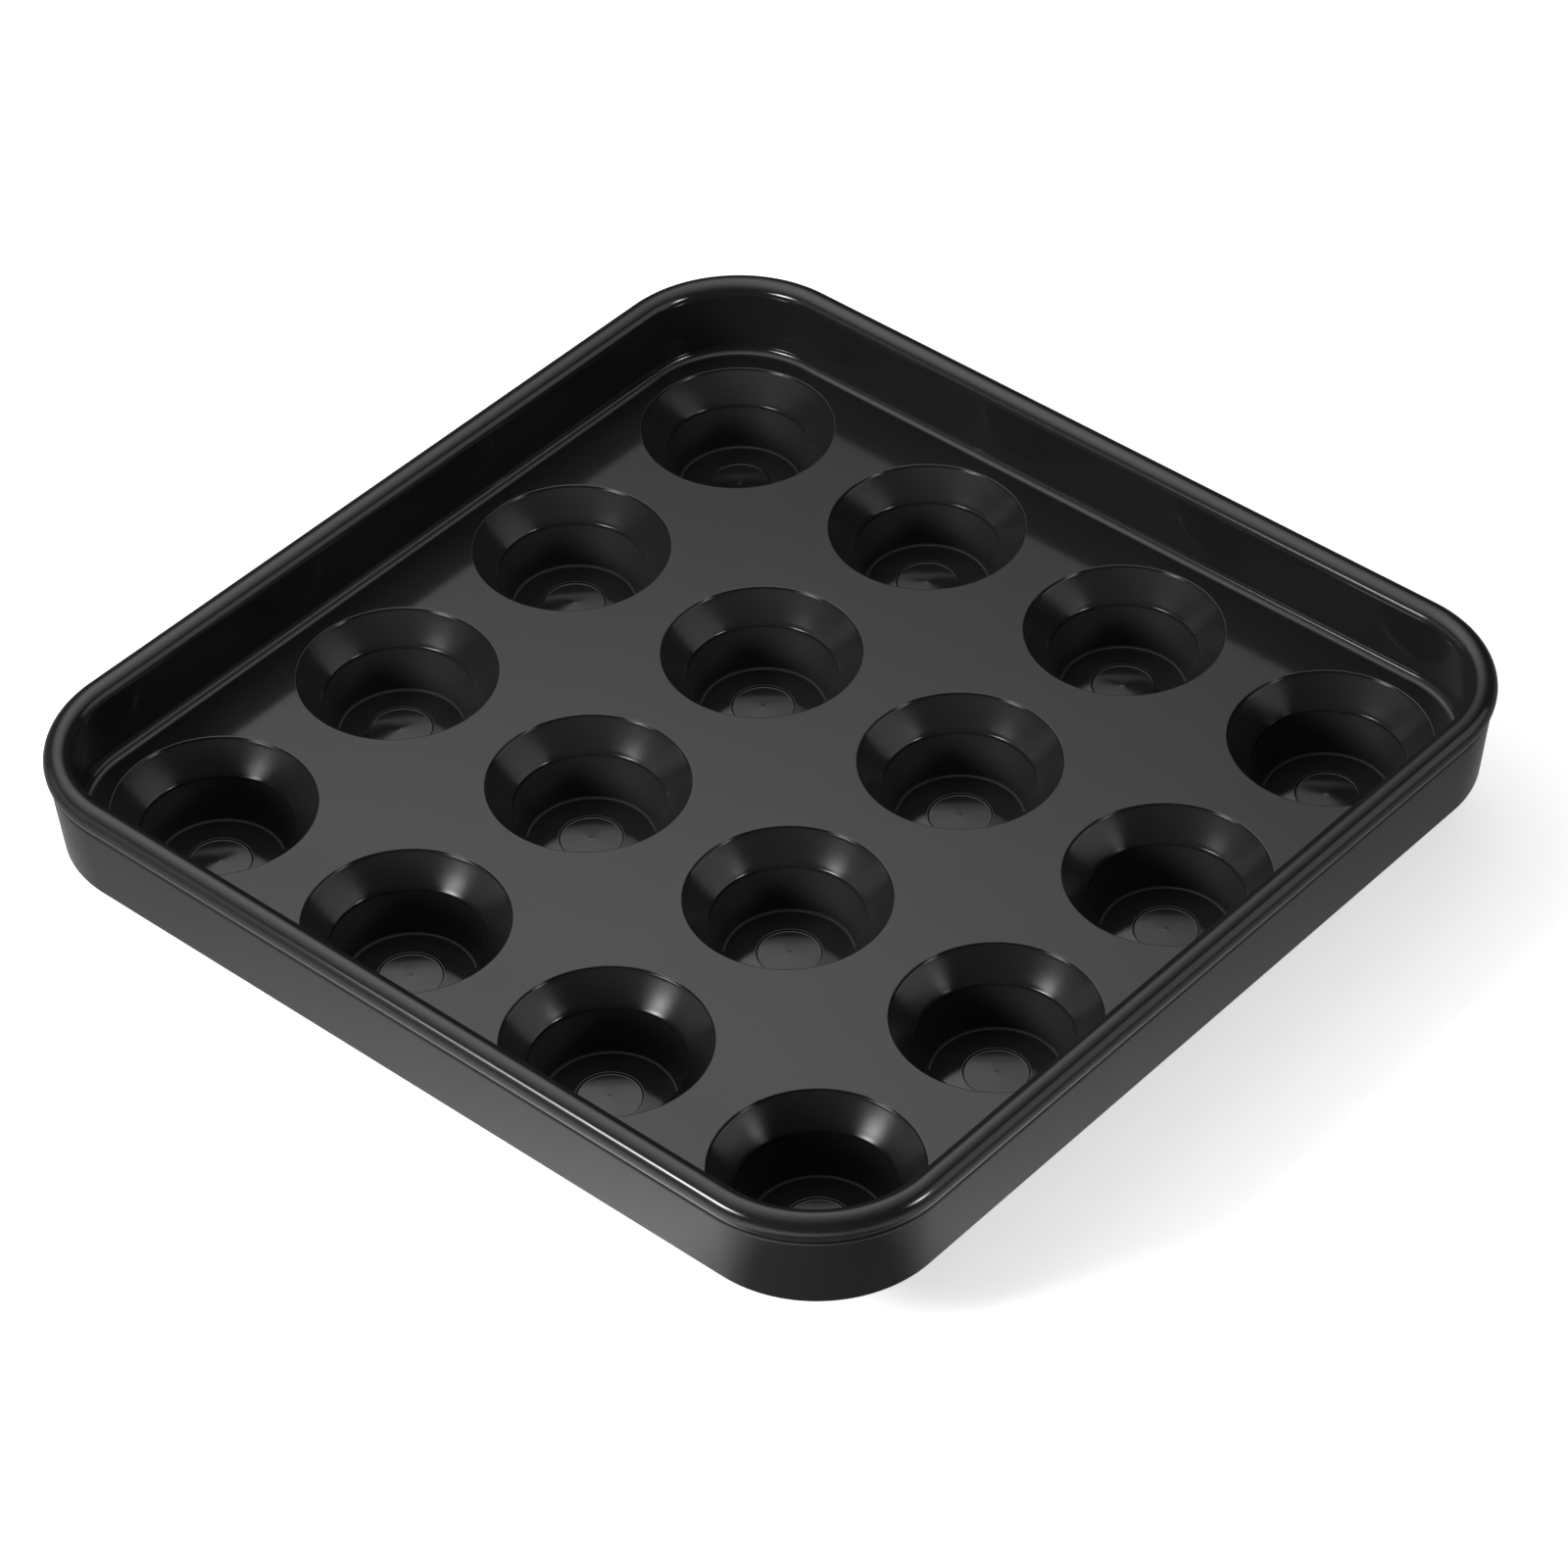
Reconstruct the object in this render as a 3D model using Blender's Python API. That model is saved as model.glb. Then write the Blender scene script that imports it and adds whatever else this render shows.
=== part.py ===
"""A square moulded tray that keeps sixteen billiard balls apart, one in each stepped pocket.

The tray is one moulding. Its rim, its deck and each of its pockets is an object of its own here, with a
hairline seam between neighbours. X and Y run along the sides, and the pockets stand on Z = 0.
"""

import math

import bmesh
import bpy

# Layout, in metres.
ROWS = 4
COLUMNS = 4
BALL_DIAMETER = 0.05715  # a standard pool ball, 2 1/4 inches
DECK_WEB = 0.01265  # between neighbouring holes in the deck
EDGE_WEB = 0.002  # between a hole and the edge of the deck beside it
CORNER_TUCK = 0.0014  # how much tighter the deck's corners are than its holes
SEAM = 0.0003  # left open between neighbouring objects

# Deck, the flat plate between the pockets.
DECK_THICKNESS = 0.003

# Pocket. Its mouth is level with the top of the deck.
MOUTH_CLEARANCE = 0.0012  # around the widest part of a ball
CHAMFER_WIDTH = 0.0074
CHAMFER_DEPTH = 0.0086
WALL_DRAFT = 0.003  # how much the wall leans in between the seat and the floor
BALL_FLOOR_GAP = 0.0025  # under a ball that rests on the seat
FLOOR_FILLET = 0.0008
FLOOR_RISE = 0.0019  # the floor climbs this much towards its middle
DIMPLE_RADIUS = 0.0095  # flat round recess in the middle of the floor
DIMPLE_DEPTH = 0.0006
DIMPLE_DRAFT = 0.0003
POCKET_WALL = 0.003
COLLAR_WIDTH = 0.0016  # flat ring around the mouth, level with the deck

# Rim. Heights are measured up from the top of the deck.
BEAD_RADIUS = 0.0043
BEAD_HEIGHT = 0.0211  # centre of the bead
BEAD_OVERHANG = 0.0012  # how far the bead stands out over the wall below it
FOOT_FILLET = 0.0028  # where the inner wall meets the deck
SKIRT_DEPTH = 0.0068  # how far the outer wall reaches below the top of the deck
SKIRT_TAPER = 0.0022  # how far the outer wall leans in on its way down
SKIRT_THICKNESS = 0.003
SKIRT_EDGE_RADIUS = 0.0008

# Fineness of the round shapes.
POCKET_SEGMENTS = 28
CORNER_SEGMENTS = 9
BEAD_SEGMENTS = 10
FILLET_SEGMENTS = 3
FLOOR_FILLET_SEGMENTS = 2
CREASE_ANGLE = 32  # in degrees, where the smooth shading breaks

PLASTIC_COLOR = (0.011, 0.011, 0.012, 1.0)
PLASTIC_ROUGHNESS = 0.16

# Radii of the pocket: its mouth, the edge under the chamfer that carries the ball, and its floor.
MOUTH_RADIUS = BALL_DIAMETER / 2 + MOUTH_CLEARANCE
SEAT_RADIUS = MOUTH_RADIUS - CHAMFER_WIDTH
FLOOR_RADIUS = SEAT_RADIUS - WALL_DRAFT
SEAM_RADIUS = MOUTH_RADIUS + COLLAR_WIDTH
HOLE_RADIUS = SEAM_RADIUS + SEAM
POCKET_PITCH = 2 * HOLE_RADIUS + DECK_WEB

# Depths under the top of the deck: the lowest point of a ball on the seat, and the foot of the wall.
BALL_BOTTOM = CHAMFER_DEPTH + BALL_DIAMETER / 2 - math.sqrt((BALL_DIAMETER / 2) ** 2 - SEAT_RADIUS**2)
POCKET_DEPTH = BALL_BOTTOM + BALL_FLOOR_GAP + FLOOR_RISE - DIMPLE_DEPTH
DECK_TOP = POCKET_DEPTH + POCKET_WALL

# Distances outward from the centre line of the bead, so the ones inside it are negative.
INNER_WALL = -BEAD_RADIUS
RIM_LEDGE = INNER_WALL - FOOT_FILLET - SEAM
DECK_EDGE = RIM_LEDGE - SEAM
WALL_TOP = BEAD_RADIUS - BEAD_OVERHANG
WALL_FOOT = WALL_TOP - SKIRT_TAPER

# The centre line of the bead in plan.
RIM_MARGIN = HOLE_RADIUS + EDGE_WEB - DECK_EDGE
BEAD_HALF_X = (COLUMNS - 1) / 2 * POCKET_PITCH + RIM_MARGIN
BEAD_HALF_Y = (ROWS - 1) / 2 * POCKET_PITCH + RIM_MARGIN
BEAD_CORNER_RADIUS = HOLE_RADIUS - CORNER_TUCK - DECK_EDGE


def clear_scene():
    for old in list(bpy.data.objects):
        bpy.data.objects.remove(old, do_unlink=True)


def plastic():
    material = bpy.data.materials.new("black_gloss_plastic")
    material.use_nodes = True
    shader = material.node_tree.nodes["Principled BSDF"]
    shader.inputs["Base Color"].default_value = PLASTIC_COLOR
    shader.inputs["Roughness"].default_value = PLASTIC_ROUGHNESS
    shader.inputs["Metallic"].default_value = 0.0
    return material


def place(name, mesh, parent, location=(0, 0, 0)):
    made = bpy.data.objects.new(name, mesh)
    bpy.context.scene.collection.objects.link(made)
    made.parent = parent
    made.location = location
    return made


def mesh_from(name, points, faces, material):
    """A closed mesh with its faces outward, smooth except across its creases."""
    mesh = bpy.data.meshes.new(name)
    mesh.from_pydata(points, [], faces)
    shape = bmesh.new()
    shape.from_mesh(mesh)
    bmesh.ops.recalc_face_normals(shape, faces=shape.faces)
    shape.to_mesh(mesh)
    shape.free()
    mesh.materials.append(material)
    mesh.shade_smooth()
    mesh.set_sharp_from_angle(angle=math.radians(CREASE_ANGLE))
    return mesh


def arc(center, radius, start, end, segments):
    """Points on a circle, from one angle to another in degrees, with both ends."""
    angles = [math.radians(start + (end - start) * step / segments) for step in range(segments + 1)]
    return [(center[0] + radius * math.cos(a), center[1] + radius * math.sin(a)) for a in angles]


def rounded_rectangle(half_x, half_y, radius):
    """Points around a rectangle with round corners, anticlockwise from the middle of its +X side."""
    points = []
    for quarter, (side_x, side_y) in enumerate(((1, 1), (-1, 1), (-1, -1), (1, -1))):
        center = (side_x * (half_x - radius), side_y * (half_y - radius))
        points += arc(center, radius, 90 * quarter, 90 * quarter + 90, CORNER_SEGMENTS)
    return points


def outline(offset):
    """The bead's centre line in plan, moved outward by an offset."""
    return rounded_rectangle(BEAD_HALF_X + offset, BEAD_HALF_Y + offset, BEAD_CORNER_RADIUS + offset)


def pocket_inside():
    """(radius, depth) from the mouth down to the middle of the floor."""
    fillet_center = (FLOOR_RADIUS - FLOOR_FILLET, FLOOR_FILLET - POCKET_DEPTH)
    return [
        (MOUTH_RADIUS, 0),
        (SEAT_RADIUS, -CHAMFER_DEPTH),
        *arc(fillet_center, FLOOR_FILLET, 0, -90, FLOOR_FILLET_SEGMENTS),
        (DIMPLE_RADIUS, FLOOR_RISE - POCKET_DEPTH),
        (DIMPLE_RADIUS - DIMPLE_DRAFT, FLOOR_RISE - DIMPLE_DEPTH - POCKET_DEPTH),
        (0, FLOOR_RISE - DIMPLE_DEPTH - POCKET_DEPTH),
    ]


def pocket_outside():
    """(radius, depth) from the middle of the underside up to the collar."""
    slope = math.atan2(MOUTH_RADIUS - SEAT_RADIUS, CHAMFER_DEPTH)
    # Where the outer cone, one wall away from the chamfer, reaches the underside of the collar.
    under_collar = MOUTH_RADIUS + POCKET_WALL / math.cos(slope) - DECK_THICKNESS * math.tan(slope)
    under_seat = SEAT_RADIUS + POCKET_WALL / math.cos(slope) - POCKET_WALL * math.tan(slope)
    return [
        (0, -POCKET_DEPTH - POCKET_WALL),
        (FLOOR_RADIUS + POCKET_WALL - FLOOR_FILLET, -POCKET_DEPTH - POCKET_WALL),
        (FLOOR_RADIUS + POCKET_WALL, -POCKET_DEPTH - POCKET_WALL + FLOOR_FILLET),
        (under_seat, -CHAMFER_DEPTH - POCKET_WALL),
        (min(under_collar, SEAM_RADIUS), -DECK_THICKNESS),
        (SEAM_RADIUS, -DECK_THICKNESS),
        (SEAM_RADIUS, 0),
    ]


def without_repeats(profile):
    return [point for before, point in zip([None, *profile], profile) if point != before]


def turned(name, profile, material):
    """A solid turned about Z from a profile whose two ends lie on the axis."""
    rings = without_repeats(profile)[1:-1]
    points = [(0, 0, profile[0][1]), (0, 0, profile[-1][1])]
    for radius, height in rings:
        for step in range(POCKET_SEGMENTS):
            angle = math.tau * step / POCKET_SEGMENTS
            points.append((radius * math.cos(angle), radius * math.sin(angle), height))
    faces = []
    for step in range(POCKET_SEGMENTS):
        after = (step + 1) % POCKET_SEGMENTS
        faces.append((0, 2 + step, 2 + after))
        for ring in range(len(rings) - 1):
            low = 2 + ring * POCKET_SEGMENTS
            high = low + POCKET_SEGMENTS
            faces.append((low + step, high + step, high + after, low + after))
        last = 2 + (len(rings) - 1) * POCKET_SEGMENTS
        faces.append((1, last + after, last + step))
    return mesh_from(name, points, faces, material)


def pocket_centers():
    """(row, column, x, y) of each pocket, from the +Y row down and from -X across."""
    for row in range(ROWS):
        for column in range(COLUMNS):
            x = (column - (COLUMNS - 1) / 2) * POCKET_PITCH
            y = ((ROWS - 1) / 2 - row) * POCKET_PITCH
            yield row + 1, column + 1, x, y


def add_pockets(tray, material):
    mesh = turned("pocket", pocket_outside() + pocket_inside(), material)
    for row, column, x, y in pocket_centers():
        place(f"ball_pocket_r{row}c{column}", mesh, tray, (x, y, DECK_TOP))


def hole_cutter(tray):
    """One cylinder for each pocket, clear of its collar by the seam."""
    shape = bmesh.new()
    for _, _, x, y in pocket_centers():
        drilled = bmesh.ops.create_cone(
            shape,
            cap_ends=True,
            segments=POCKET_SEGMENTS,
            radius1=HOLE_RADIUS,
            radius2=HOLE_RADIUS,
            depth=3 * DECK_THICKNESS,
        )
        bmesh.ops.translate(shape, vec=(x, y, DECK_TOP), verts=drilled["verts"])
    mesh = bpy.data.meshes.new("hole_cutter")
    shape.to_mesh(mesh)
    shape.free()
    cutter = place("hole_cutter", mesh, tray)
    cutter.hide_render = True
    cutter.display_type = "WIRE"
    return cutter


def add_deck(tray, material):
    edge = outline(DECK_EDGE)
    count = len(edge)
    points = [(x, y, DECK_TOP - DECK_THICKNESS) for x, y in edge]
    points += [(x, y, DECK_TOP) for x, y in edge]
    faces = [tuple(range(count)), tuple(range(count, 2 * count))]
    for step in range(count):
        after = (step + 1) % count
        faces.append((step, after, count + after, count + step))
    deck = place("deck", mesh_from("deck", points, faces, material), tray)
    holes = deck.modifiers.new("pocket_holes", "BOOLEAN")
    holes.operation = "DIFFERENCE"
    holes.solver = "EXACT"
    holes.object = hole_cutter(tray)


def rim_section():
    """(offset, height) around the rim's section, offsets from the centre line of the bead."""
    fillet_center = (INNER_WALL - FOOT_FILLET, FOOT_FILLET)
    bead_end = -math.degrees(math.acos(WALL_TOP / BEAD_RADIUS))
    edge_center = (WALL_FOOT - SKIRT_EDGE_RADIUS, SKIRT_EDGE_RADIUS - SKIRT_DEPTH)
    return [
        (RIM_LEDGE, -DECK_THICKNESS),
        (RIM_LEDGE, 0),
        *arc(fillet_center, FOOT_FILLET, -90, 0, FILLET_SEGMENTS),
        *arc((0, BEAD_HEIGHT), BEAD_RADIUS, 180, bead_end, BEAD_SEGMENTS),
        *arc(edge_center, SKIRT_EDGE_RADIUS, 0, -90, FILLET_SEGMENTS),
        (WALL_FOOT - SKIRT_THICKNESS, -SKIRT_DEPTH),
        (WALL_FOOT - SKIRT_THICKNESS, -DECK_THICKNESS),
    ]


def add_rim(tray, material):
    section = rim_section()
    loops = [[(x, y, DECK_TOP + height) for x, y in outline(offset)] for offset, height in section]
    count = len(loops[0])
    points = [point for loop in loops for point in loop]
    faces = []
    for ring in range(len(loops)):
        low = ring * count
        high = (ring + 1) % len(loops) * count
        for step in range(count):
            after = (step + 1) % count
            faces.append((low + step, low + after, high + after, high + step))
    place("rim", mesh_from("rim", points, faces, material), tray)


def main():
    clear_scene()
    tray = bpy.data.objects.new("ball_tray", None)
    bpy.context.scene.collection.objects.link(tray)
    material = plastic()
    add_rim(tray, material)
    add_deck(tray, material)
    add_pockets(tray, material)


main()
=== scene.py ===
# A square moulded tray with sixteen stepped pockets for billiard balls, built around its CAD frame.
import math

import bmesh
import bpy
from mathutils import Matrix, Vector


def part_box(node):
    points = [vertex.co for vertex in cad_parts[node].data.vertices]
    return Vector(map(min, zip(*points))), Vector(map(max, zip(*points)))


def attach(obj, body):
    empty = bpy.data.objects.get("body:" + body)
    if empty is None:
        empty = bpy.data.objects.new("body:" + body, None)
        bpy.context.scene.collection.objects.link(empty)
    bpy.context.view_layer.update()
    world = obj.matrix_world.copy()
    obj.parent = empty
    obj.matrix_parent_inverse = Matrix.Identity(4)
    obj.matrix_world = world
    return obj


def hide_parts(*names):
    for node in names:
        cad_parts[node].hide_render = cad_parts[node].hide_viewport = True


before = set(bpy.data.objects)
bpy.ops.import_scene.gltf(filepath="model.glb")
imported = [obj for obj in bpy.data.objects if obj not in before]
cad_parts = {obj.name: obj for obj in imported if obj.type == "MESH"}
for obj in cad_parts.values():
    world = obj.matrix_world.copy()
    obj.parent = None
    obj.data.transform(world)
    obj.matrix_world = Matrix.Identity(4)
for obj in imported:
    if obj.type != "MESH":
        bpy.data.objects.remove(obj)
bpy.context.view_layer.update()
print("frame loaded")

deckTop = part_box("deck")[1].z
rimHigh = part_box("rim")[1]
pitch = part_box("ball_pocket_r1c2")[0].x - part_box("ball_pocket_r1c1")[0].x
pocketNodes = [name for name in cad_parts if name.startswith("ball_pocket")]


def filletedPath(corners):
    # Points along a path whose corners are (across, up, radius, steps). A radius of 0 keeps a corner sharp.
    # One point just before and one just after each fillet hold the shading of the flats beside it.
    hold = 0.00012
    made = []
    for index, (across, up, radius, steps) in enumerate(corners):
        here = Vector((across, up))
        if radius == 0 or index in (0, len(corners) - 1):
            made.append(here)
            continue
        toBefore = (Vector(corners[index - 1][:2]) - here).normalized()
        toAfter = (Vector(corners[index + 1][:2]) - here).normalized()
        halfAngle = toBefore.angle(toAfter) / 2
        reach = radius / math.tan(halfAngle)
        center = here + (toBefore + toAfter).normalized() * (radius / math.sin(halfAngle))
        first = here + toBefore * reach - center
        last = here + toAfter * reach - center
        turn = first.angle_signed(last)
        made.append(here + toBefore * (reach + hold))
        for step in range(steps + 1):
            made.append(center + Matrix.Rotation(-turn * step / steps, 2) @ first)
        made.append(here + toAfter * (reach + hold))
    return made


def roundedSquare(half, radius, cornerSteps, sideSteps):
    # Points around a square with round corners, anticlockwise from the top end of its +X side.
    points = []
    for quarter in range(4):
        turned = Matrix.Rotation(math.pi / 2 * quarter, 2)
        center = Vector((half - radius, half - radius))
        for step in range(cornerSteps + 1):
            angle = math.pi / 2 * step / cornerSteps
            points.append(turned @ (center + radius * Vector((math.cos(angle), math.sin(angle)))))
        start = Vector((half - radius, half))
        for step in range(1, sideSteps):
            points.append(turned @ (start + Vector((-2 * (half - radius) * step / sideSteps, 0))))
    return points


def newPiece(name, mesh):
    made = bpy.data.objects.new(name, mesh)
    bpy.context.scene.collection.objects.link(made)
    return made


def meshFrom(name, points, faces):
    creaseDegrees = 34
    mergeDistance = 1e-7
    mesh = bpy.data.meshes.new(name)
    mesh.from_pydata(points, [], faces)
    shape = bmesh.new()
    shape.from_mesh(mesh)
    bmesh.ops.remove_doubles(shape, verts=shape.verts, dist=mergeDistance)
    bmesh.ops.recalc_face_normals(shape, faces=shape.faces)
    shape.to_mesh(mesh)
    shape.free()
    mesh.shade_smooth()
    mesh.set_sharp_from_angle(angle=math.radians(creaseDegrees))
    return mesh


def flatSheet(name, wide, tall):
    mesh = bpy.data.meshes.new(name)
    x, y = wide / 2, tall / 2
    mesh.from_pydata([(-x, -y, 0), (x, -y, 0), (x, y, 0), (-x, y, 0)], [], [(0, 1, 2, 3)])
    return newPiece(name, mesh)


class Socket:
    # A node's output, which can be used in a sum.
    def __init__(self, maker, output):
        self.maker = maker
        self.output = output

    def worked(self, operation, first, second):
        return self.maker.add("ShaderNodeMath", {"operation": operation}, {0: first, 1: second})

    def __add__(self, other):
        return self.worked("ADD", self, other)

    def __radd__(self, other):
        return self.worked("ADD", other, self)

    def __sub__(self, other):
        return self.worked("SUBTRACT", self, other)

    def __rsub__(self, other):
        return self.worked("SUBTRACT", other, self)

    def __mul__(self, other):
        return self.worked("MULTIPLY", self, other)

    def __rmul__(self, other):
        return self.worked("MULTIPLY", other, self)


class NodeMaker:
    # Adds nodes to one tree.
    def __init__(self, tree):
        self.tree = tree

    def add(self, kind, settings=None, inputs=None, output=0):
        # The settings first, then the values or links of its sockets. A list links several to one socket.
        node = self.tree.nodes.new(kind)
        for name, value in (settings or {}).items():
            if name == "stops":
                for stop, (place, shade) in zip(node.color_ramp.elements, value):
                    stop.position = place
                    stop.color = (shade, shade, shade, 1.0)
            else:
                setattr(node, name, value)
        for name, value in (inputs or {}).items():
            self.feed(node.inputs[name], value)
        return Socket(self, node.outputs[output]) if len(node.outputs) else None

    def feed(self, socket, value):
        if isinstance(value, Socket):
            self.tree.links.new(value.output, socket)
        elif isinstance(value, list):
            for each in value:
                self.tree.links.new(each.output, socket)
        else:
            socket.default_value = value

    def noise(self, place, scale, detail):
        return self.add(
            "ShaderNodeTexNoise",
            {"noise_dimensions": "3D"},
            {"Vector": place, "Scale": scale, "Detail": detail},
        )

    def blend(self, factor, first, second):
        # The Mix node's sockets 6 and 7 are its two colours, and its output 2 is the mixed one.
        return self.add(
            "ShaderNodeMix", {"data_type": "RGBA"}, {"Factor": factor, 6: first, 7: second}, output=2
        )

    def above(self, value, level, softness):
        # 0 below a level and 1 above it.
        return self.add(
            "ShaderNodeMapRange",
            {"interpolation_type": "SMOOTHSTEP"},
            {"Value": value, "From Min": level - softness, "From Max": level + softness},
        )


def coolGray(shade):
    blueness = 1.02
    return (shade, shade, shade * blueness, 1.0)


plasticLook = {
    "darkShade": 0.0095,
    "paleShade": 0.0140,
    "gloss": 0.12,  # roughness of the bead, the deck and every edge
    "chamferGloss": 0.22,
    "wallGloss": 0.52,
    "glossSpread": 0.05,
    "ior": 1.54,
    "flowScale": 38.0,  # soft flow marks of the moulding
    "flowHeight": 0.000022,
    "dentScale": 95.0,  # uneven cooling in the pockets
    "dentHeight": 0.00004,
    "grainScale": 900.0,
    "grainHeight": 0.0000005,
    "patchScale": 61.0,  # where dust has settled
    "patchEdges": (0.60, 0.72),  # from no dust to all of it
    "speckScale": 420.0,
    "speckEdges": (0.035, 0.075),  # of each speck, from solid to gone
    "speckShade": 0.06,
    "speckStrength": 0.35,
}

def blackPlastic(name, look, inPockets):
    material = bpy.data.materials.new(name)
    material.use_nodes = True
    maker = NodeMaker(material.node_tree)
    shader = material.node_tree.nodes["Principled BSDF"]
    place = maker.add("ShaderNodeTexCoord", output="Object")
    flow = maker.noise(place, look["flowScale"], detail=3.0)
    grain = maker.noise(place, look["grainScale"], detail=2.0)
    patches = maker.noise(place, look["patchScale"], detail=4.0)
    specks = maker.add(
        "ShaderNodeTexVoronoi", {"feature": "F1"}, {"Vector": place, "Scale": look["speckScale"]}
    )
    solid, gone = look["speckEdges"]
    clean, dusty = look["patchEdges"]
    isSpeck = maker.add("ShaderNodeValToRGB", {"stops": ((solid, 1.0), (gone, 0.0))}, {"Fac": specks})
    isPatch = maker.add("ShaderNodeValToRGB", {"stops": ((clean, 0.0), (dusty, 1.0))}, {"Fac": patches})
    shade = maker.blend(flow, coolGray(look["darkShade"]), coolGray(look["paleShade"]))
    dusted = maker.blend(isSpeck * isPatch * look["speckStrength"], shade, coolGray(look["speckShade"]))
    roughness = look["glossSpread"] * (patches - 0.5)
    relief = flow * look["flowHeight"] + grain * look["grainHeight"]
    if inPockets:
        roughness = roughness + pocketFinish(maker, place, look, pocketSizes)
        dents = maker.noise(place, look["dentScale"], detail=1.0)
        relief = relief + dents * look["dentHeight"]
    else:
        roughness = roughness + look["gloss"]
    surface = maker.add("ShaderNodeBump", None, {"Height": relief, "Distance": 1.0})
    maker.feed(shader.inputs["Base Color"], dusted)
    maker.feed(shader.inputs["Roughness"], roughness)
    maker.feed(shader.inputs["Normal"], surface)
    maker.feed(shader.inputs["IOR"], look["ior"])
    return material


plastic = blackPlastic("glossBlackPlastic", plasticLook, False)
print("plastic mixed")


def finishPiece(piece, *nodes):
    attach(piece, "root")
    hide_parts(*nodes)


rimSizes = {
    "beadRadius": 0.0043,
    "beadCornerRadius": 0.038,  # in plan, along the middle of the bead
    "overhang": 0.0012,  # of the bead over the wall below it
    "shoulderRadius": 0.0018,  # where the wall rises into the groove under the bead
    "shoulderTurn": 40,  # in degrees
    "shadingHold": 0.0002,  # of the flats beside the bead and the shoulder
    "footFillet": 0.0028,
    "skirtDepth": 0.0068,
    "skirtTaper": 0.0022,
    "skirtThickness": 0.003,
    "skirtEdge": 0.0008,
    "innerEdge": 0.0004,
    "deckThickness": 0.003,
    "beadSteps": 32,
    "shoulderSteps": 6,
    "cornerSteps": 40,
    "sideSteps": 10,
}


def rimSection(sizes):
    # (offset from the middle of the bead, height over the deck) around the rim's section.
    bead = sizes["beadRadius"]
    beadHeight = rimHigh.z - deckTop - bead
    ledge = -bead - sizes["footFillet"]
    wallTop = bead - sizes["overhang"]
    wallFoot = wallTop - sizes["skirtTaper"]
    shoulder = sizes["shoulderRadius"]
    turn = math.radians(sizes["shoulderTurn"])
    grooveAcross = wallTop - shoulder * (1 - math.cos(turn))
    grooveAngle = -math.acos(grooveAcross / bead)
    section = filletedPath(
        [
            (ledge, -sizes["deckThickness"], 0, 1),
            (ledge, 0, 0, 1),
            (-bead, 0, sizes["footFillet"], 10),
            (-bead, beadHeight - sizes["shadingHold"], 0, 1),
            (-bead, beadHeight, 0, 1),
        ]
    )
    for step in range(1, sizes["beadSteps"] + 1):
        angle = math.pi + (grooveAngle - math.pi) * step / sizes["beadSteps"]
        section.append(Vector((bead * math.cos(angle), beadHeight + bead * math.sin(angle))))
    shoulderHeight = section[-1].y - shoulder * math.sin(turn)
    for step in range(1, sizes["shoulderSteps"] + 1):
        angle = turn * (1 - step / sizes["shoulderSteps"])
        across = wallTop - shoulder * (1 - math.cos(angle))
        section.append(Vector((across, shoulderHeight + shoulder * math.sin(angle))))
    section += filletedPath(
        [
            (wallTop, shoulderHeight - sizes["shadingHold"], 0, 1),
            (wallFoot, -sizes["skirtDepth"], sizes["skirtEdge"], 5),
            (wallFoot - sizes["skirtThickness"], -sizes["skirtDepth"], sizes["innerEdge"], 3),
            (wallFoot - sizes["skirtThickness"], -sizes["deckThickness"], 0, 1),
        ]
    )
    return section


def sweptRim(sizes):
    section = rimSection(sizes)
    half = rimHigh.x - sizes["beadRadius"]
    points = []
    for offset, height in section:
        loop = roundedSquare(
            half + offset, sizes["beadCornerRadius"] + offset, sizes["cornerSteps"], sizes["sideSteps"]
        )
        points += [(p.x, p.y, deckTop + height) for p in loop]
    count = len(points) // len(section)
    faces = []
    for ring in range(len(section)):
        low, high = ring * count, (ring + 1) % len(section) * count
        for step in range(count):
            after = (step + 1) % count
            faces.append((low + step, low + after, high + after, high + step))
    return meshFrom("trayRim", points, faces)


rim = newPiece("trayRim", sweptRim(rimSizes))
rim.data.materials.append(plastic)
finishPiece(rim, "rim")
print("rim swept")

pocketSizes = {
    "collarRadius": 0.0312,
    "mouthRadius": 0.0298,
    "mouthEdge": 0.0004,
    "lipDrop": 0.0006,
    "lipDraft": 0.0001,
    "lipEdge": 0.0005,
    "seatRadius": 0.0224,
    "seatEdge": 0.0009,
    "chamferDepth": 0.0086,
    "chamferBow": 0.00014,  # how far the chamfer's middle bulges
    "chamferCurve": 0.12,  # radius of the bulge
    "floorRadius": 0.0194,
    "floorFillet": 0.0008,
    "floorDepth": 0.0232,
    "floorRise": 0.0019,
    "ringRadius": 0.0095,
    "ringEdge": 0.0002,
    "recessDepth": 0.0006,
    "ringDraft": 0.0003,
    "ringFoot": 0.00025,
    "coneHeight": 0.00026,  # the recess climbs slightly to the gate mark in its middle
    "gateRadius": 0.0009,
    "gateEdge": 0.0003,
    "gateRise": 0.0001,
    "wall": 0.003,
    "drapedWall": 0.72,  # how much of the wall is left level with the seat, where the underside turns
    "undersideFillet": 0.0008,
    "sides": 96,
}


def fromPocketMiddle(maker, place):
    # How far a place is from the middle of its pocket, seen from above.
    cell = maker.add(
        "ShaderNodeVectorMath", {"operation": "MULTIPLY"}, {0: place, 1: (1 / pitch, 1 / pitch, 0)}
    )
    inCell = maker.add("ShaderNodeVectorMath", {"operation": "FRACTION"}, {0: cell})
    return pitch * maker.add(
        "ShaderNodeVectorMath", {"operation": "DISTANCE"}, {0: inCell, 1: (0.5, 0.5, 0)}, output="Value"
    )


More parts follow.
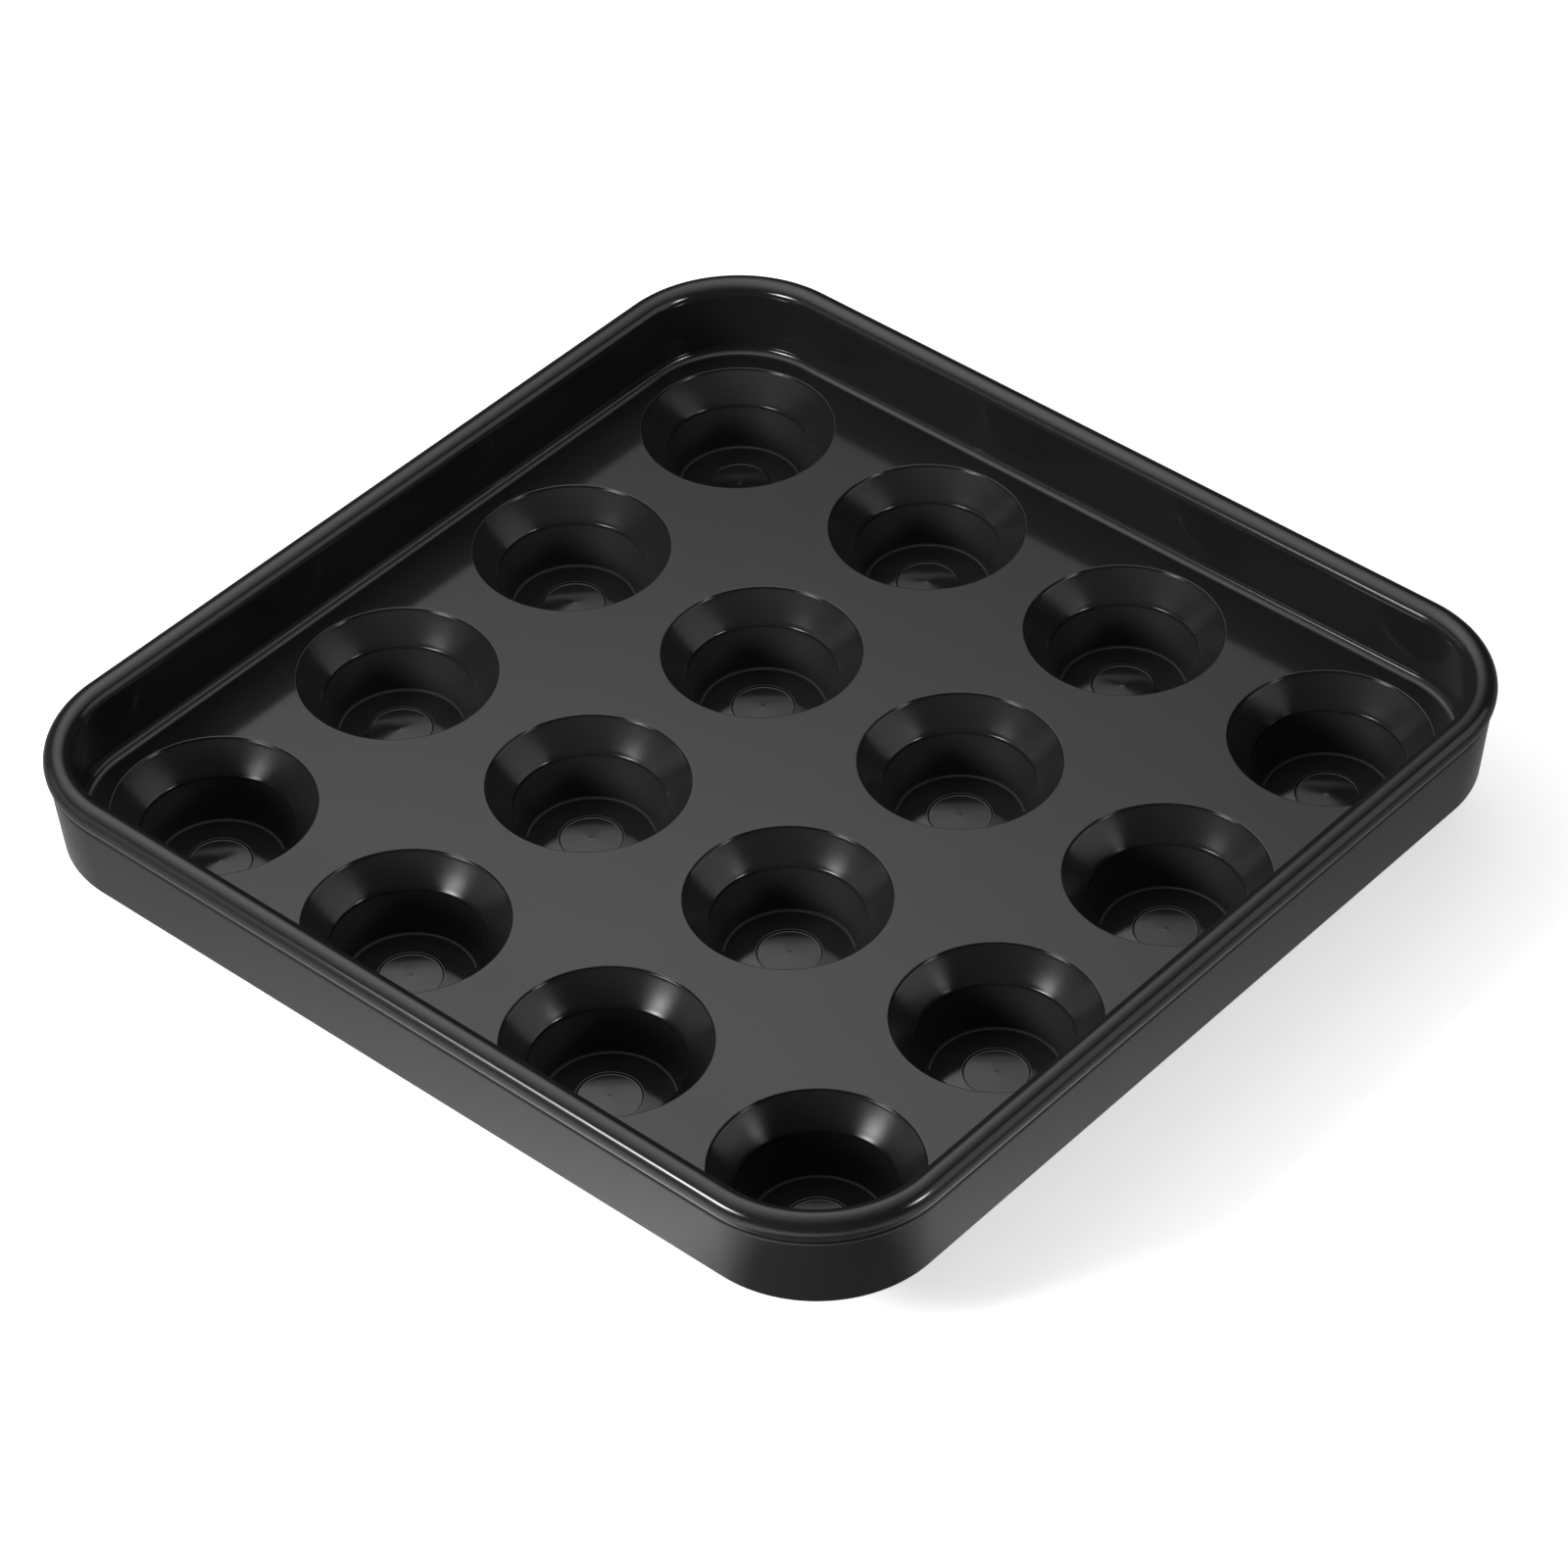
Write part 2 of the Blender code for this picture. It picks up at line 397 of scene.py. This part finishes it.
def pocketFinish(maker, place, look, sizes):
    # Roughness in a pocket: glossy floor, satin wall, glossy seat edge, softer chamfer, glossy mouth.
    soft = 0.0003
    height = maker.add("ShaderNodeSeparateXYZ", None, {"Vector": place}, output="Z")
    seatLine = deckTop - sizes["chamferDepth"]
    lipLine = deckTop - 2 * sizes["lipDrop"]
    edge = sizes["seatEdge"]
    offFloor = maker.above(fromPocketMiddle(maker, place), sizes["floorRadius"] - edge, soft)
    wall = offFloor * (1 - maker.above(height, seatLine - edge, soft))
    chamfer = maker.above(height, seatLine + edge, soft) * (1 - maker.above(height, lipLine, soft))
    extraWall = look["wallGloss"] - look["gloss"]
    extraChamfer = look["chamferGloss"] - look["gloss"]
    return look["gloss"] + wall * extraWall + chamfer * extraChamfer


pocketPlastic = blackPlastic("pocketBlackPlastic", plasticLook, True)


def pocketSection(sizes):
    # From the middle of the underside, up the outside, over the mouth and down to the middle of the floor.
    wall = sizes["wall"]
    deep = sizes["floorDepth"]
    seat = sizes["seatRadius"]
    mouth = sizes["mouthRadius"]
    ringTop = sizes["floorRise"] - deep
    recess = ringTop - sizes["recessDepth"]
    gateHeight = recess + sizes["coneHeight"]
    lip = mouth - sizes["lipDraft"]
    middleRadius = (lip + seat) / 2 - sizes["chamferBow"]
    middleHeight = sizes["chamferBow"] - (sizes["lipDrop"] + sizes["chamferDepth"]) / 2
    return filletedPath(
        [
            (0, -deep - wall, 0, 1),
            (sizes["floorRadius"] + wall, -deep - wall, sizes["undersideFillet"], 2),
            (seat + wall * sizes["drapedWall"], -sizes["chamferDepth"] - wall, sizes["undersideFillet"], 2),
            (sizes["collarRadius"], -wall, 0, 1),
            (sizes["collarRadius"], 0, 0, 1),
            (mouth, 0, sizes["mouthEdge"], 3),
            (lip, -sizes["lipDrop"], sizes["lipEdge"], 2),
            (middleRadius, middleHeight, sizes["chamferCurve"], 4),
            (seat, -sizes["chamferDepth"], sizes["seatEdge"], 5),
            (sizes["floorRadius"], -deep, sizes["floorFillet"], 4),
            (sizes["ringRadius"], ringTop, sizes["ringEdge"], 2),
            (sizes["ringRadius"] - sizes["ringDraft"], recess, sizes["ringFoot"], 2),
            (sizes["gateRadius"], gateHeight, sizes["gateEdge"], 2),
            (0, gateHeight + sizes["gateRise"], 0, 1),
        ]
    )


def pocketMesh(sizes):
    sides = sizes["sides"]
    section = pocketSection(sizes)
    points = [(0, 0, section[0].y), (0, 0, section[-1].y)]
    rings = section[1:-1]
    for radius, height in rings:
        for side in range(sides):
            angle = math.tau * side / sides
            points.append((radius * math.cos(angle), radius * math.sin(angle), height))
    faces = []
    lastRing = 2 + (len(rings) - 1) * sides
    for side in range(sides):
        after = (side + 1) % sides
        faces.append((0, 2 + after, 2 + side))
        for ring in range(len(rings) - 1):
            low = 2 + ring * sides
            high = low + sides
            faces.append((low + side, low + after, high + after, high + side))
        faces.append((1, lastRing + side, lastRing + after))
    return meshFrom("pocket", points, faces)


def nodeTree(name, inputs):
    # A Geometry Nodes tree with named inputs, given as {name: socket type}, and a maker for its nodes.
    tree = bpy.data.node_groups.new(name, "GeometryNodeTree")
    for inputName, kind in inputs.items():
        tree.interface.new_socket(inputName, in_out="INPUT", socket_type=kind)
    tree.interface.new_socket("Geometry", in_out="OUTPUT", socket_type="NodeSocketGeometry")
    maker = NodeMaker(tree)
    return tree, maker, {inputName: maker.add("NodeGroupInput", output=inputName) for inputName in inputs}


def pocketGrid(maker, given):
    # A flat mesh grid with one point in the middle of each pocket.
    return maker.add(
        "GeometryNodeMeshGrid",
        None,
        {
            "Size X": (given["Columns"] - 1) * given["Pitch"],
            "Size Y": (given["Rows"] - 1) * given["Pitch"],
            "Vertices X": given["Columns"],
            "Vertices Y": given["Rows"],
        },
    )


def endTree(maker, geometry, material):
    real = maker.add("GeometryNodeRealizeInstances", None, {"Geometry": geometry})
    painted = maker.add("GeometryNodeSetMaterial", None, {"Geometry": real, "Material": material})
    maker.add("NodeGroupOutput", None, {"Geometry": painted})


def grownPiece(name, tree, values):
    # Runs the tree on an empty object and keeps the result as a plain mesh.
    grower = newPiece(name + "Grower", bpy.data.meshes.new(name + "Grower"))
    modifier = grower.modifiers.new(name, "NODES")
    modifier.node_group = tree
    for item in tree.interface.items_tree:
        if item.in_out == "INPUT":
            modifier[item.identifier] = values[item.name]
    graph = bpy.context.evaluated_depsgraph_get()
    mesh = bpy.data.meshes.new_from_object(grower.evaluated_get(graph))
    mesh.name = name
    grower.modifiers.remove(modifier)
    bpy.data.objects.remove(grower)
    return newPiece(name, mesh)


layout = {
    "Rows": 4,
    "Columns": 4,
    "Pitch": pitch,
}


def pocketFieldTree():
    tree, maker, given = nodeTree(
        "pocketField",
        {
            "Pocket": "NodeSocketObject",
            "Rows": "NodeSocketInt",
            "Columns": "NodeSocketInt",
            "Pitch": "NodeSocketFloat",
            "Height": "NodeSocketFloat",
        },
    )
    pocket = maker.add("GeometryNodeObjectInfo", None, {"Object": given["Pocket"]}, output="Geometry")
    lift = maker.add("ShaderNodeCombineXYZ", None, {"Z": given["Height"]})
    raised = maker.add(
        "GeometryNodeTransform", None, {"Geometry": pocketGrid(maker, given), "Translation": lift}
    )
    placed = maker.add("GeometryNodeInstanceOnPoints", None, {"Points": raised, "Instance": pocket})
    endTree(maker, placed, pocketPlastic)
    return tree


samplePocket = newPiece("samplePocket", pocketMesh(pocketSizes))
pockets = grownPiece(
    "ballPockets", pocketFieldTree(), {**layout, "Pocket": samplePocket, "Height": deckTop}
)
bpy.data.objects.remove(samplePocket)
finishPiece(pockets, *pocketNodes)
print("pockets set out:", len(pocketNodes))

deckSizes = {
    "Hole Radius": pocketSizes["collarRadius"],
    "Sides": pocketSizes["sides"],
    "Thickness": rimSizes["deckThickness"],
    "Height": deckTop,
}


def outlineObject():
    # The rim's ledge as a closed loop of edges, so that the deck meets it point for point.
    inset = rimSizes["beadRadius"] + rimSizes["footFillet"]
    half = rimHigh.x - rimSizes["beadRadius"] - inset
    loop = roundedSquare(
        half, rimSizes["beadCornerRadius"] - inset, rimSizes["cornerSteps"], rimSizes["sideSteps"]
    )
    mesh = bpy.data.meshes.new("deckOutline")
    edges = [(index, (index + 1) % len(loop)) for index in range(len(loop))]
    mesh.from_pydata([(p.x, p.y, 0) for p in loop], edges, [])
    return newPiece("deckOutline", mesh)


def deckTree():
    tree, maker, given = nodeTree(
        "deckPlate",
        {
            "Outline": "NodeSocketObject",
            "Rows": "NodeSocketInt",
            "Columns": "NodeSocketInt",
            "Pitch": "NodeSocketFloat",
            "Hole Radius": "NodeSocketFloat",
            "Sides": "NodeSocketInt",
            "Thickness": "NodeSocketFloat",
            "Height": "NodeSocketFloat",
        },
    )
    mergeDistance = 1e-6
    outline = maker.add("GeometryNodeObjectInfo", None, {"Object": given["Outline"]}, output="Geometry")
    edge = maker.add("GeometryNodeMeshToCurve", None, {"Mesh": outline})
    circle = maker.add(
        "GeometryNodeCurvePrimitiveCircle",
        None,
        {"Resolution": given["Sides"], "Radius": given["Hole Radius"]},
    )
    holes = maker.add(
        "GeometryNodeInstanceOnPoints", None, {"Points": pocketGrid(maker, given), "Instance": circle}
    )
    realHoles = maker.add("GeometryNodeRealizeInstances", None, {"Geometry": holes})
    loops = maker.add("GeometryNodeJoinGeometry", None, {"Geometry": [edge, realHoles]})
    flat = maker.add("GeometryNodeFillCurve", None, {"Curve": loops})
    down = maker.add("ShaderNodeCombineXYZ", None, {"Z": given["Height"] - given["Thickness"]})
    sunk = maker.add("GeometryNodeTransform", None, {"Geometry": flat, "Translation": down})
    upward = maker.add("ShaderNodeCombineXYZ", None, {"Z": 1.0})
    raised = maker.add(
        "GeometryNodeExtrudeMesh",
        None,
        {"Mesh": sunk, "Offset": upward, "Offset Scale": given["Thickness"], "Individual": False},
    )
    underside = maker.add("GeometryNodeFlipFaces", None, {"Mesh": sunk})
    whole = maker.add("GeometryNodeJoinGeometry", None, {"Geometry": [raised, underside]})
    closed = maker.add(
        "GeometryNodeMergeByDistance", None, {"Geometry": whole, "Distance": mergeDistance}
    )
    endTree(maker, closed, plastic)
    return tree


deckOutline = outlineObject()
deck = grownPiece("trayDeck", deckTree(), {**layout, **deckSizes, "Outline": deckOutline})
bpy.data.objects.remove(deckOutline)
finishPiece(deck, "deck")
print("deck cut")

studio = {
    "floorSize": 12.0,
    "floorShade": 0.86,
    "floorRoughness": 0.9,
    "floorGlow": 0.6,  # a translucent table, lit from below
    "surroundings": 0.03,
    "backdrop": 0.95,
}


def paleFloor():
    # The plastic mirrors the card below, with its painted table light and shade, instead of this floor.
    floor = flatSheet("floor", studio["floorSize"], studio["floorSize"])
    material = bpy.data.materials.new("paleFloor")
    material.use_nodes = True
    shader = material.node_tree.nodes["Principled BSDF"]
    shader.inputs["Base Color"].default_value = (studio["floorShade"],) * 3 + (1.0,)
    shader.inputs["Roughness"].default_value = studio["floorRoughness"]
    shader.inputs["Emission Color"].default_value = (1.0, 1.0, 1.0, 1.0)
    shader.inputs["Emission Strength"].default_value = studio["floorGlow"]
    floor.data.materials.append(material)
    floor.visible_glossy = False


paleFloor()

# A glowing card seen only in reflections, with painted light and painted shade standing in for an unevenly
# lit table.
tableCard = {
    "size": 3.0,
    "spot": (0.158, -0.160, 0.0),  # middle of the painted shade and of the painted light around it, a little in front of the corner nearest the camera
    "glow": 1.8,
    "reach": 0.167,
    "paintedShadeRadius": 0.056,  # painted shade around the spot
    "paintedShadeSoftness": 0.020,
    "rightShare": 0.45,  # how much of the painted light falls on the right of the spot
    "sideSoftness": 0.07,
    "leastGlow": 0.10,
}


def glowingMaterial(name, pattern, strength):
    # Shines by a pattern of 0 to 1.
    material = bpy.data.materials.new(name)
    material.use_nodes = True
    material.node_tree.nodes.clear()
    maker = NodeMaker(material.node_tree)
    place = maker.add("ShaderNodeTexCoord", output="Object")
    shade = maker.blend(pattern(maker, place), (0.0, 0.0, 0.0, 1.0), (1.0, 1.0, 1.0, 1.0))
    light = maker.add("ShaderNodeEmission", None, {"Color": shade, "Strength": strength})
    maker.add("ShaderNodeOutputMaterial", None, {"Surface": light})
    return material


def paintedReflectionPattern(maker, place):
    # Painted light that fades with the distance from the spot, with painted shade close around it, and is
    # dimmer on the right of the line from it to the tray.
    away = maker.add(
        "ShaderNodeVectorMath", {"operation": "DISTANCE"}, {0: place, 1: tableCard["spot"]}, output="Value"
    )
    fading = maker.add("ShaderNodeMath", {"operation": "EXPONENT"}, {0: away * (-1 / tableCard["reach"])})
    outside = maker.above(away, tableCard["paintedShadeRadius"], tableCard["paintedShadeSoftness"])
    across = maker.add(
        "ShaderNodeVectorMath", {"operation": "DOT_PRODUCT"}, {0: place, 1: (1.0, 1.0, 0.0)}, output="Value"
    )
    onRight = maker.above(across, 0.0, tableCard["sideSoftness"])
    share = 1 - onRight * (1 - tableCard["rightShare"])
    return fading * outside * share + tableCard["leastGlow"] / tableCard["glow"]


def addPaintedTableReflection():
    # A painted reflection of a lit table for the rim to mirror: painted light near the front sides, painted
    # shade at the front corner. Only glossy rays see it.
    card = flatSheet("tableCard", tableCard["size"], tableCard["size"])
    card.data.materials.append(glowingMaterial("tableCard", paintedReflectionPattern, tableCard["glow"]))
    card.visible_camera = False
    card.visible_diffuse = False
    card.visible_shadow = False


addPaintedTableReflection()

cameraSizes = {
    "place": (0.8648, -0.9632, 1.1382),  # from the middle of the deck's top
    "turned": (48.54, 1.01, 40.91),  # in degrees
    "lens": 137.3,
    "sensor": 36.0,
}


def addCamera():
    lensData = bpy.data.cameras.new("camera")
    lensData.lens = cameraSizes["lens"]
    lensData.sensor_width = cameraSizes["sensor"]
    lensData.clip_start = 0.05
    lensData.clip_end = 50.0
    camera = newPiece("camera", lensData)
    camera.location = Vector(cameraSizes["place"]) + Vector((0, 0, deckTop))
    camera.rotation_euler = [math.radians(angle) for angle in cameraSizes["turned"]]
    bpy.context.scene.camera = camera


addCamera()

# Each soft panel: its place from the middle of the deck's top, what it faces, its width and height,
# how bright its middle is, and how quickly it fades towards its edges.
panels = {
    "overheadSoftbox": {
        "place": (-0.489, 0.171, 0.80),
        "faces": (-0.489, 0.171, 0.0),
        "size": (2.6, 2.6),
        "glow": 1.7,
        "fade": 3.4,
    },
    "leftLamp": {
        "place": (-0.232, -0.854, 0.35),
        "faces": (0.0, 0.0, 0.0),
        "size": (0.52, 0.26),
        "glow": 36.0,
        "fade": 3.0,
    },
    "rightLamp": {
        "place": (1.07, 0.25, 0.41),
        "faces": (0.0, 0.0, 0.0),
        "size": (0.34, 0.24),
        "glow": 26.0,
        "fade": 2.6,
    },
    "leftReflector": {
        "place": (-1.35, -1.35, 0.55),
        "faces": (0.0, 0.0, 0.3),
        "size": (2.6, 1.3),
        "glow": 0.42,
        "fade": 0.5,
    },
    "rightReflector": {
        "place": (1.28, 0.96, 0.6),
        "faces": (0.0, 0.0, 0.3),
        "size": (1.6, 1.3),
        "glow": 0.8,
        "fade": 0.5,
    },
}


def addPanel(name, values):
    # A glowing sheet, bright in its middle, that lights the tray and is mirrored in it.
    wide, tall = values["size"]

    def pattern(maker, place):
        spread = maker.add(
            "ShaderNodeVectorMath", {"operation": "MULTIPLY"}, {0: place, 1: (2 / wide, 2 / tall, 0)}
        )
        reach = maker.add("ShaderNodeVectorMath", {"operation": "LENGTH"}, {0: spread}, output="Value")
        return maker.add(
            "ShaderNodeMath", {"operation": "EXPONENT"}, {0: reach * reach * -values["fade"]}
        )

    panel = flatSheet(name, wide, tall)
    panel.data.materials.append(glowingMaterial(name, pattern, values["glow"]))
    place = Vector(values["place"])
    panel.location = place + Vector((0, 0, deckTop))
    panel.rotation_euler = (Vector(values["faces"]) - place).to_track_quat("-Z", "Y").to_euler()
    panel.visible_camera = False
    panel.visible_shadow = False


for panelName, panelValues in panels.items():
    addPanel(panelName, panelValues)

sideKey = {
    "place": (-0.55, -1.45, 0.76),  # from the middle of the deck's top
    "size": 0.35,
    "watts": 18.0,
}


def addSideKey():
    # Fills the right sides of the pockets without a mirror image of its own.
    keyData = bpy.data.lights.new("sideKey", "AREA")
    keyData.shape = "DISK"
    keyData.size = sideKey["size"]
    keyData.energy = sideKey["watts"]
    key = newPiece("sideKey", keyData)
    key.location = Vector(sideKey["place"]) + Vector((0, 0, deckTop))
    key.rotation_euler = (-Vector(sideKey["place"])).to_track_quat("-Z", "Y").to_euler()
    key.visible_glossy = False


addSideKey()


def studioWorld():
    # Dim surroundings for the tray to mirror, behind a pale backdrop.
    world = bpy.data.worlds.new("studio")
    world.use_nodes = True
    maker = NodeMaker(world.node_tree)
    background = world.node_tree.nodes["Background"]
    isBackdrop = maker.add("ShaderNodeLightPath", output="Is Camera Ray")
    dim = studio["surroundings"]
    maker.feed(background.inputs["Strength"], dim + isBackdrop * (studio["backdrop"] - dim))
    maker.feed(background.inputs["Color"], (1.0, 1.0, 1.0, 1.0))
    bpy.context.scene.world = world


studioWorld()
bpy.context.scene.view_settings.view_transform = "Standard"
print("studio lit")
